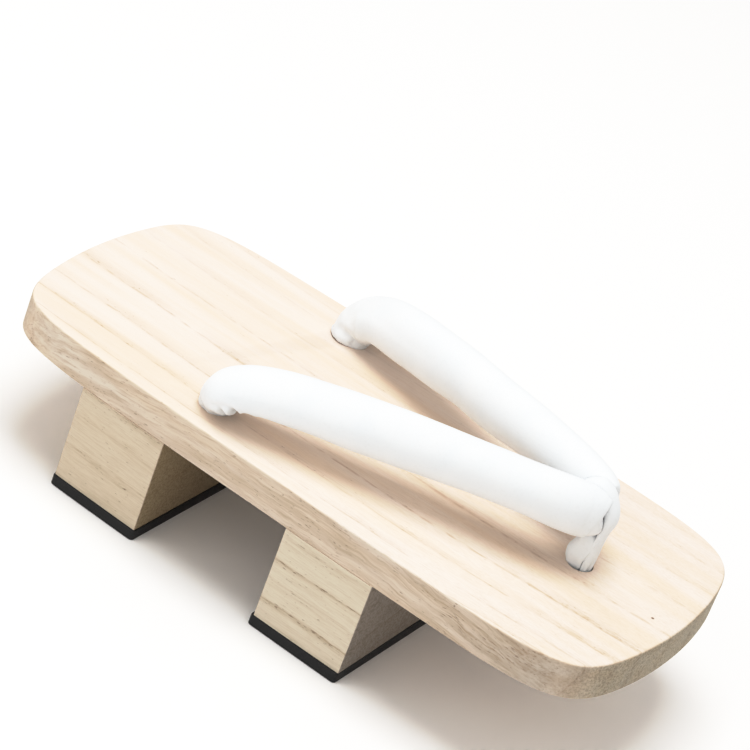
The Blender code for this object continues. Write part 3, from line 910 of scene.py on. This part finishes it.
class Nodes:
    """A material's nodes, made by short calls. Any input takes a number, a colour or a socket."""

    def __init__(self, name):
        self.material = bpy.data.materials.new(name)
        self.material.use_nodes = True
        self.tree = self.material.node_tree
        self.shader = self.tree.nodes["Principled BSDF"]
        self.place = self.add("TexCoord", output="Object")

    def set(self, socket, value):
        if isinstance(value, bpy.types.NodeSocket):
            self.tree.links.new(value, socket)
        else:
            socket.default_value = value

    def add(self, kind, inputs=(), output=0, **settings):
        node = self.tree.nodes.new("ShaderNode" + kind)
        for setting, value in settings.items():
            setattr(node, setting, value)
        for key, value in dict(inputs).items():
            self.set(node.inputs[key], value)
        return node.outputs[output]

    def math(self, operation, first, second=0.0, third=0.0):
        return self.add("Math", {0: first, 1: second, 2: third}, operation=operation)

    def scaled_place(self, scale):
        return self.add("VectorMath", {0: self.place, 3: scale}, operation="SCALE")

    def axes(self, vector):
        split = self.add("SeparateXYZ", {0: vector}).node
        return split.outputs[0], split.outputs[1], split.outputs[2]

    def vector(self, x, y, z):
        return self.add("CombineXYZ", {0: x, 1: y, 2: z})

    def stretched(self, x, y, z, across, along):
        """A vector for a noise that is drawn out along y: how fast it changes across and along."""
        scales = ((x, across), (y, along), (z, across))
        return self.vector(*[self.math("MULTIPLY", value, scale) for value, scale in scales])

    def noise(self, vector, detail=2.0, roughness=0.5):
        inputs = {"Vector": vector, "Scale": 1.0, "Detail": detail, "Roughness": roughness}
        return self.add("TexNoise", inputs)

    def range(self, value, low, high, new_low=0.0, new_high=1.0):
        return self.add("MapRange", {0: value, 1: low, 2: high, 3: new_low, 4: new_high})

    def ramp(self, factor, stops, interpolation="LINEAR"):
        ramp = self.add("ValToRGB", {0: factor}).node
        elements = ramp.color_ramp.elements
        ramp.color_ramp.interpolation = interpolation
        while len(elements) < len(stops):
            elements.new(1.0)
        for element, (position, grey) in zip(elements, stops):
            element.position = position
            element.color = (grey, grey, grey, 1.0)
        return ramp.outputs[0]

    def mix(self, factor, first, second, blend="MIX"):
        inputs = {0: factor, 6: first, 7: second}
        return self.add("Mix", inputs, output=2, data_type="RGBA", blend_type=blend)

    def bump(self, height, distance, strength=1.0):
        normal = self.add("Bump", {"Height": height, "Distance": distance, "Strength": strength})
        self.set(self.shader.inputs["Normal"], normal)

    def finish(self, colour, roughness):
        self.set(self.shader.inputs["Base Color"], colour)
        self.set(self.shader.inputs["Roughness"], roughness)
        return self.material


def figure_noise(nodes, place, figure):
    """The noise of one figure of the wood, drawn out along the grain. place is in mm."""
    across, along, detail, roughness = WOOD_NOISES[figure]
    return nodes.noise(nodes.stretched(*place, across, along), detail, roughness)


def figure_share(nodes, place, figure, most=1.0):
    """How strongly one figure of the wood shows, from 0 to most."""
    low, high = WOOD_RANGES[figure]
    return nodes.range(figure_noise(nodes, place, figure), low, high, 0.0, most)


def ring_coordinate(nodes, wood, place):
    """Where a point lies across the growth rings, in mm."""
    x, y, z = place
    across_x, across_z, bend_x, bend_y = wood["grain"]
    ring = nodes.math("MULTIPLY_ADD", x, across_x, nodes.math("MULTIPLY", z, across_z))
    ring = nodes.math("MULTIPLY_ADD", nodes.math("MULTIPLY", x, x), bend_x, ring)
    ring = nodes.math("MULTIPLY_ADD", nodes.math("MULTIPLY", y, y), bend_y, ring)
    wander = figure_noise(nodes, place, "wander")
    wander = nodes.math("MULTIPLY_ADD", wander, RING_WANDER, -RING_WANDER / 2 - wood["start"])
    return nodes.math("ADD", ring, wander)


def ring_lines(nodes, ring, lines):
    """(place between two ring lines from 0 to 1, how strong the lines are there)."""
    low, high = lines[0][0], lines[-1][0]
    share = nodes.range(ring, low, high)
    last = len(lines) - 1
    places = [((place - low) / (high - low), i / last) for i, (place, _) in enumerate(lines)]
    strengths = [((place - low) / (high - low), strength) for place, strength in lines]
    count = nodes.math("MULTIPLY", nodes.ramp(share, places), last)
    return nodes.math("FRACT", count), nodes.ramp(share, strengths)


def ring_marks(nodes, wood, place):
    """[the rings' dark cores, which break off here and there, their brown halos, which come and go]."""
    between_lines, strength = ring_lines(nodes, ring_coordinate(nodes, wood, place), wood["lines"])
    marks = []
    for stops, figure in ((RING_CORE, "broken"), (RING_HALO, "smeared")):
        mark = nodes.math("MULTIPLY", nodes.ramp(between_lines, stops), strength)
        marks.append(nodes.math("MULTIPLY", mark, figure_share(nodes, place, figure)))
    return marks


def face_masks(nodes):
    """[how far a point faces sideways, how far it faces the toe or the heel], from 0 to 1."""
    facing_x, facing_y, _ = nodes.axes(nodes.add("TexCoord", output="Normal"))
    return [nodes.range(nodes.math("ABSOLUTE", facing), *FACING) for facing in (facing_x, facing_y)]


def bent_place(nodes, wood, place):
    """The point's place in mm, with heights that follow the streaks as they bend and wander."""
    x, y, z = place
    bent = nodes.math("MULTIPLY_ADD", nodes.math("MULTIPLY", y, y), wood["bend"], z)
    return x, y, nodes.math("MULTIPLY_ADD", figure_noise(nodes, place, "waves"), wood["waves"], bent)


def pore_marks(nodes, wood, bent, rings, clouds, on_side):
    """Dark pores, closer together at the ring lines, in brown patches and on the long sides."""
    limit = nodes.math("MULTIPLY_ADD", nodes.math("MAXIMUM", *rings), -PORES_AT_RINGS, PORE_LIMIT)
    limit = nodes.math("MULTIPLY_ADD", clouds, -PORES_IN_CLOUDS * wood["clouds"], limit)
    limit = nodes.math("MULTIPLY_ADD", on_side, -PORES_ON_SIDES * wood["flecks"], limit)
    pores = figure_noise(nodes, bent, "pores")
    return nodes.range(pores, limit, nodes.math("ADD", limit, PORE_EDGE))


def streak_marks(nodes, wood, bent, halo, on_side, figure):
    """Brown streaks, on the long sides and beside the ring lines."""
    side_strength, run = wood["streaks"]
    strength = nodes.math("MULTIPLY_ADD", halo, TOP_STREAKS_AT_HALO, TOP_STREAKS)
    strength = nodes.math("MULTIPLY", strength, figure)
    strength = nodes.math("MULTIPLY_ADD", on_side, side_strength, strength)
    vector = nodes.stretched(*bent, STREAKS_ACROSS, run)
    streaks = nodes.noise(vector, STREAKS_DETAIL, STREAKS_ROUGHNESS)
    return nodes.math("MULTIPLY", nodes.range(streaks, *WOOD_RANGES["streaks"]), strength)


def tint_faces(nodes, wood, place, colour, on_side, on_end):
    """The colour with the tints of the long sides and of the mottled ends: their own tan and end grain, with
    painted shade that keeps them darker than the top.
    """
    # Painted shade: sides and ends darker than the top, besides their own tan and end-grain colour
    colour = nodes.mix(on_side, colour, wood["side"], "MULTIPLY")
    colour = nodes.mix(on_end, colour, wood["end"], "MULTIPLY")
    mottles = nodes.math("MULTIPLY", figure_share(nodes, place, "mottles"), on_end)
    return nodes.mix(mottles, colour, MOTTLE_TINT, "MULTIPLY")


def wood_material(name, wood):
    """Pale wood: broken growth rings, brown streaks, fine fibres, dark pores and mottled end grain."""
    nodes = Nodes(name)
    place = nodes.axes(nodes.scaled_place(1 / MM))
    on_side, on_end = face_masks(nodes)
    core, halo = ring_marks(nodes, wood, place)
    bent = bent_place(nodes, wood, place)
    clouds = nodes.math("MULTIPLY", figure_share(nodes, bent, "clouds"), on_side)
    fibres = figure_noise(nodes, bent, "fibres")
    pores = pore_marks(nodes, wood, bent, (core, halo), clouds, on_side)
    figure = nodes.range(place[1], *HEEL_TO_TOE, wood["plain_heel"], 1.0)
    fibre_marks = nodes.range(fibres, *WOOD_RANGES["fibres"], 0.0, FIBRE_STRENGTH)

    colour = nodes.mix(figure_share(nodes, place, "bands", wood["bands"]), WOOD_LIGHT, WOOD_WARM)
    colour = nodes.mix(nodes.math("MULTIPLY", clouds, wood["clouds"]), colour, WOOD_STREAK)
    colour = nodes.mix(streak_marks(nodes, wood, bent, halo, on_side, figure), colour, WOOD_STREAK)
    colour = nodes.mix(nodes.math("MULTIPLY", fibre_marks, figure), colour, WOOD_STREAK)
    toe_patch = nodes.math("MULTIPLY", nodes.range(place[1], *TOE_PATCH_Y), on_side)
    colour = nodes.mix(toe_patch, colour, TOE_TINT, "MULTIPLY")
    colour = nodes.mix(nodes.math("MULTIPLY", halo, HALO_STRENGTH), colour, WOOD_LINE)
    colour = nodes.mix(nodes.math("MULTIPLY", core, CORE_STRENGTH), colour, WOOD_LINE)
    colour = nodes.mix(nodes.math("MULTIPLY", pores, PORE_STRENGTH), colour, WOOD_PORE)
    colour = tint_faces(nodes, wood, place, colour, on_side, on_end)
    for speck_place, radius in SPECKS:
        colour = speck(nodes, colour, speck_place, radius)

    relief = nodes.math("MULTIPLY_ADD", core, -CORE_RELIEF, fibres)
    nodes.bump(nodes.math("SUBTRACT", relief, pores), WOOD_BUMP)
    return nodes.finish(colour, nodes.range(fibres, *NOISE_SPAN, *WOOD_ROUGHNESS))


def speck(nodes, colour, place, radius):
    """One small brown fleck in the wood."""
    reach = nodes.add("VectorMath", {0: nodes.place, 1: place}, output="Value", operation="DISTANCE")
    shown = nodes.range(reach, radius * SPECK_CORE, radius, SPECK_STRENGTH, 0.0)
    return nodes.mix(shown, colour, SPECK_COLOUR)


def cloth_material(name):
    """White cotton: a fine plain weave with a soft nap, painted grey shade in its creases and a dark painted
    shadow in deep folds.
    """
    nodes = Nodes(name)
    u, v, _ = nodes.axes(nodes.add("UVMap", uv_map="weave"))
    warp = nodes.math("SINE", nodes.math("MULTIPLY", u, math.pi / THREAD))
    weft = nodes.math("SINE", nodes.math("MULTIPLY", v, math.pi / THREAD))
    weave = nodes.math("MULTIPLY", warp, weft)
    nap = nodes.noise(nodes.scaled_place(NAP_SCALE), detail=FINE_DETAIL)
    cloudy = nodes.noise(nodes.scaled_place(CLOTH_CLOUD_SCALE))
    depth = nodes.add("Attribute", output="Fac", attribute_name="crease")
    crease = nodes.math("MULTIPLY", nodes.range(depth, *CREASE_SHADE), CREASE_STRENGTH)
    colour = nodes.mix(nodes.range(cloudy, *CLOTH_CLOUDS), CLOTH_WHITE, CLOTH_COOL)
    colour = nodes.mix(nodes.range(nap, *CLOTH_NAP), colour, CLOTH_NAP_AND_CREASE_SHADE)
    # Painted shade: the creases turn grey by their depth
    colour = nodes.mix(crease, colour, CLOTH_NAP_AND_CREASE_SHADE)
    # Painted shadow: deep folds beside the toe loop turn nearly black
    colour = nodes.mix(nodes.range(depth, *FOLD_SHADE), colour, CLOTH_FOLD_SHADOW)
    relief = nodes.math("MULTIPLY_ADD", nap, NAP_RELIEF, nodes.math("MULTIPLY", weave, WEAVE_RELIEF))
    nodes.bump(relief, CLOTH_BUMP)
    for socket_name, value in CLOTH_GLOSS:
        nodes.set(nodes.shader.inputs[socket_name], value)
    return nodes.finish(colour, nodes.range(nap, *NOISE_SPAN, *CLOTH_ROUGHNESS))


def rubber_material(name):
    """Black foam rubber with a fine pebbled skin and a trace of dust."""
    nodes = Nodes(name)
    pebbles = nodes.noise(nodes.scaled_place(PEBBLE_SCALE), detail=FINE_DETAIL)
    dust = nodes.noise(nodes.scaled_place(DUST_SCALE), detail=DUST_DETAIL)
    dust = nodes.math("MULTIPLY", nodes.range(dust, *DUST_RANGE), nodes.range(pebbles, *DUST_RANGE))
    colour = nodes.mix(nodes.math("MULTIPLY", dust, DUST_STRENGTH), RUBBER_BLACK, RUBBER_DUST)
    nodes.bump(pebbles, RUBBER_BUMP)
    return nodes.finish(colour, nodes.range(pebbles, *NOISE_SPAN, *RUBBER_ROUGHNESS))


def floor_material():
    """Plain pale paper."""
    nodes = Nodes("studio_floor")
    paper = nodes.noise(nodes.scaled_place(FLOOR_SCALE))
    return nodes.finish(nodes.mix(paper, FLOOR_SHADE, FLOOR_PALE), FLOOR_ROUGHNESS)


def build_floor():
    """A wide floor just under the treads."""
    shape = bmesh.new()
    bmesh.ops.create_grid(shape, x_segments=FLOOR_SEGMENTS, y_segments=FLOOR_SEGMENTS, size=FLOOR_SIZE)
    mesh = bpy.data.meshes.new("studio_floor")
    shape.to_mesh(mesh)
    shape.free()
    mesh.materials.append(floor_material())
    floor = bpy.data.objects.new("studio_floor", mesh)
    floor.location.z = -GLUE_LINE
    bpy.context.scene.collection.objects.link(floor)


def add_light(name, place, size, power, colour):
    """A square soft light that faces the sandal."""
    lamp = bpy.data.lights.new(name, "AREA")
    lamp.size = size
    lamp.energy = power
    lamp.color = colour
    light = bpy.data.objects.new(name, lamp)
    light.location = place
    light.rotation_mode = "QUATERNION"
    light.rotation_quaternion = (CAMERA_AIM - Vector(place)).to_track_quat("-Z", "Y")
    bpy.context.scene.collection.objects.link(light)


def set_tones(view):
    """The plain view with the photograph's contrast on top."""
    view.view_transform = "Standard"
    view.use_curve_mapping = True
    mapping = view.curve_mapping
    mapping.clip_max_x = BRIGHTEST_LIGHT
    curve = mapping.curves[ALL_CHANNELS]
    curve.points[-1].location = (BRIGHTEST_LIGHT, 1.0)
    for light, tone in TONE_CURVE:
        curve.points.new(light, tone)
    mapping.update()


def light_studio():
    """The lamps, the even light all round and the tones."""
    for name, place, size, power, colour in LIGHTS:
        add_light(name, place, size, power, colour)
    world = bpy.data.worlds.new("studio")
    world.use_nodes = True
    background = world.node_tree.nodes["Background"]
    background.inputs["Color"].default_value = WORLD_COLOUR
    background.inputs["Strength"].default_value = WORLD_STRENGTH
    bpy.context.scene.world = world
    set_tones(bpy.context.scene.view_settings)


def place_camera():
    """The photograph's camera, rolled as the photograph is."""
    azimuth = math.radians(CAMERA_AZIMUTH)
    elevation = math.radians(CAMERA_ELEVATION)
    roll = math.radians(CAMERA_ROLL)
    back = Vector((
        math.sin(azimuth) * math.cos(elevation),
        -math.cos(azimuth) * math.cos(elevation),
        math.sin(elevation),
    ))
    level_right = Vector((math.cos(azimuth), math.sin(azimuth), 0))
    level_up = back.cross(level_right)
    right = math.cos(roll) * level_right + math.sin(roll) * level_up
    up = math.cos(roll) * level_up - math.sin(roll) * level_right
    lens = bpy.data.cameras.new("photo_camera")
    lens.lens = CAMERA_LENS
    lens.sensor_width = CAMERA_SENSOR
    camera = bpy.data.objects.new("photo_camera", lens)
    camera.matrix_world = Matrix.Translation(CAMERA_AIM + CAMERA_DISTANCE * back) @ Matrix(
        (right, up, back)
    ).transposed().to_4x4()
    bpy.context.scene.collection.objects.link(camera)
    bpy.context.scene.camera = camera


def main():
    place_camera()
    cloth = cloth_material("white_cotton")
    rubber = rubber_material("black_foam_rubber")
    build_arm("strap_arm_right", 1, RIGHT_CREASES, RIGHT_END, cloth)
    build_arm("strap_arm_left", -1, LEFT_CREASES, LEFT_END, cloth)
    build_toe_loop(cloth)
    for name, x in (("knot_rear_right", REAR_HOLE_ACROSS), ("knot_rear_left", -REAR_HOLE_ACROSS)):
        build_knot(name, "strap", x, REAR_HOLE_Y, REAR_KNOT_RADIUS, REAR_KNOT_DEPTH, cloth)
    build_knot("knot_front", "toe_loop", 0, FRONT_HOLE_Y, FRONT_KNOT_RADIUS, FRONT_KNOT_DEPTH, cloth)
    build_board(wood_material("paulownia_board", BOARD_WOOD))
    build_tooth("front_tooth", wood_material("paulownia_front_tooth", FRONT_TOOTH_WOOD))
    build_tooth("rear_tooth", wood_material("paulownia_rear_tooth", REAR_TOOTH_WOOD))
    build_tread("front_tread", "front_tooth", FRONT_TREAD_TURN, rubber)
    build_tread("rear_tread", "rear_tooth", 0, rubber)
    build_floor()
    light_studio()


main()
